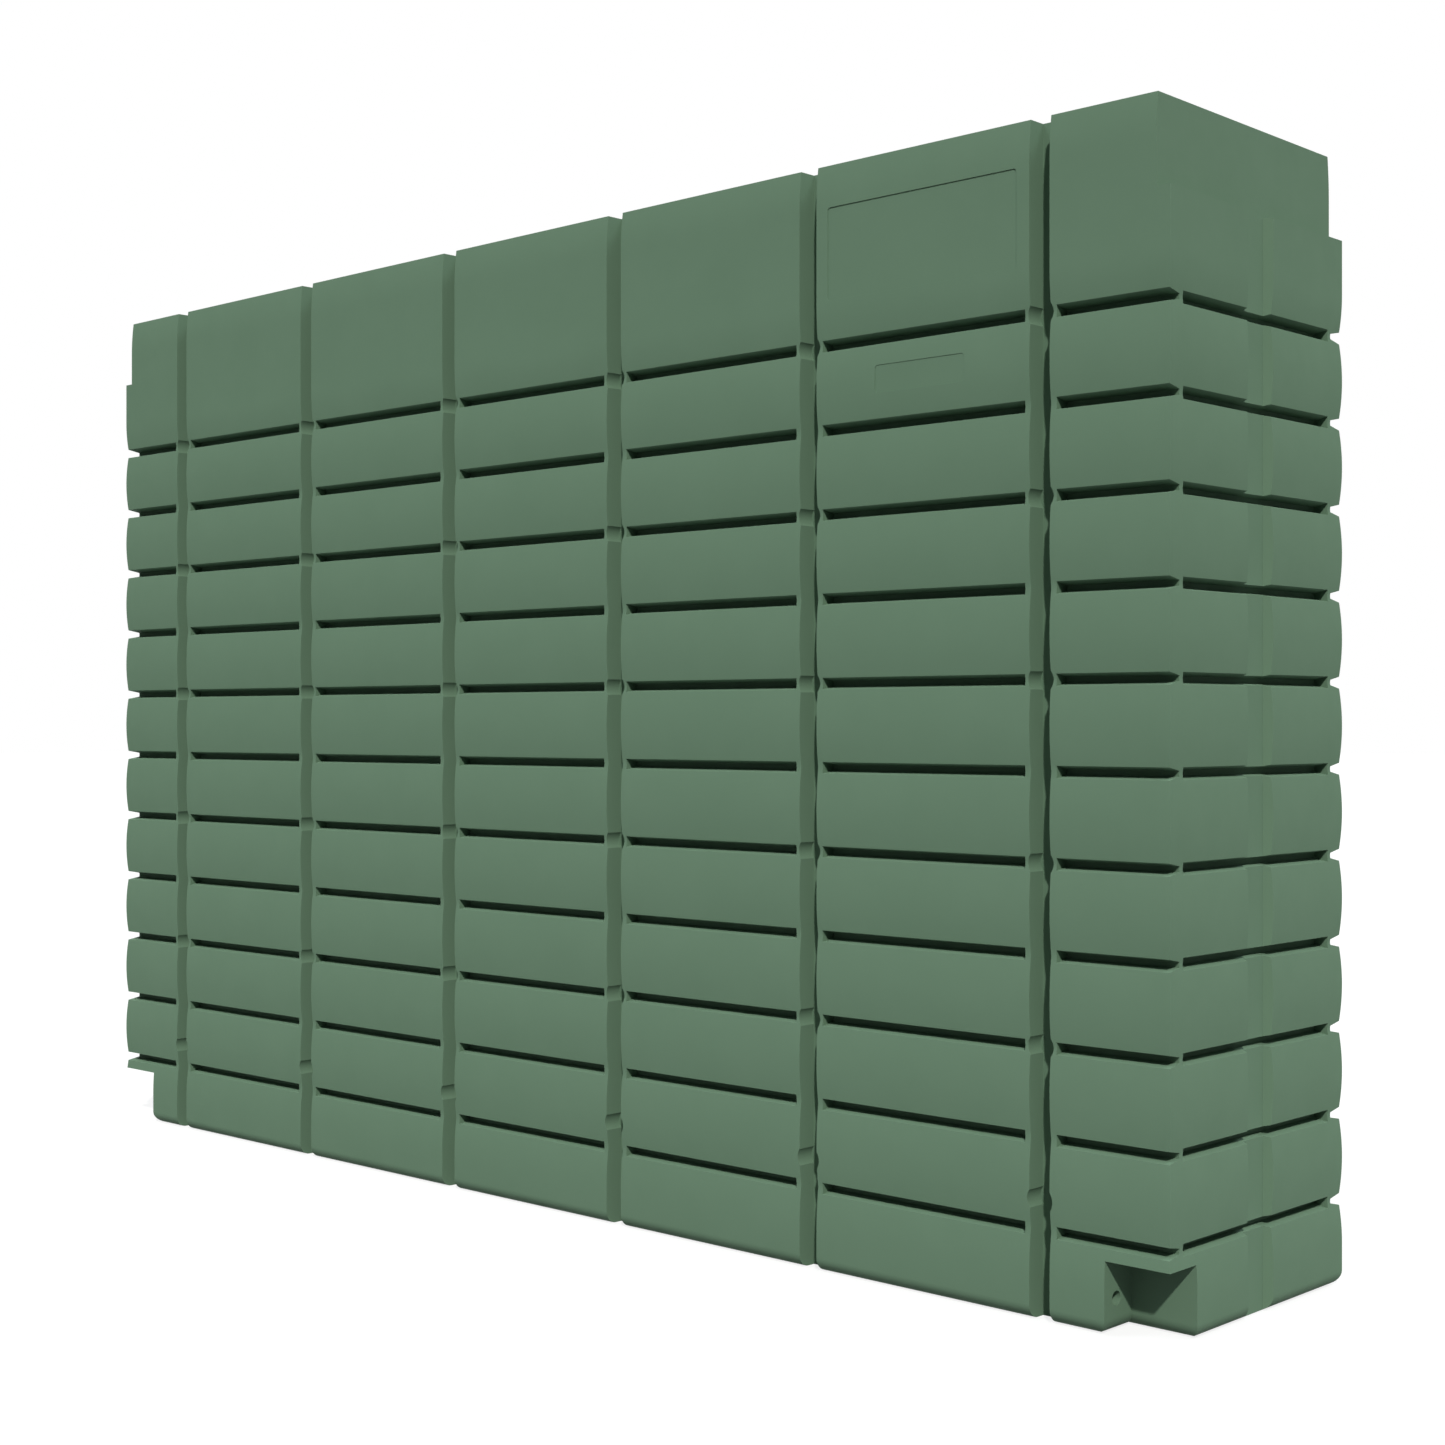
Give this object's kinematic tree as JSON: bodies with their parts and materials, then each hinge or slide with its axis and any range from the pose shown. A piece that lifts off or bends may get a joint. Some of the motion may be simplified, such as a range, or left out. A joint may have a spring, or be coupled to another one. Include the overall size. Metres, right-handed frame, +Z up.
{
  "type": "slimline water tank",
  "caption": "Tall narrow moulded water tank with bulged bands, slots and upright grooves, a roof leaf basket, an end overflow socket and low outlets in corner recesses.",
  "frame": {"origin": "middle of the base, on the surface that the tank stands on", "axes": "+X along the length towards the end with no overflow, -Y is the front with the corner recesses, +Z up"},
  "size_m": [2.993, 0.56, 1.984],
  "materials": {
    "green_polyethylene": "mid green rotationally moulded polyethylene, fine matte skin",
    "black_plastic": "black injection-moulded polypropylene, satin",
    "grey_plastic": "grey injection-moulded plastic, satin",
    "steel_mesh": "fine woven stainless mesh",
    "black_rubber": "matte black rubber"
  },
  "bodies": {
    "root": {"tank_body": "green_polyethylene", "inlet_basket": "black_plastic", "inlet_mesh": "steel_mesh", "inlet_lid": "black_plastic", "overflow_socket": "grey_plastic", "overflow_gasket": "black_rubber", "overflow_nut": "grey_plastic", "overflow_screen": "steel_mesh", "outlet_plug": "black_plastic", "outlet_seal": "black_rubber"}
  },
  "joints": []
}
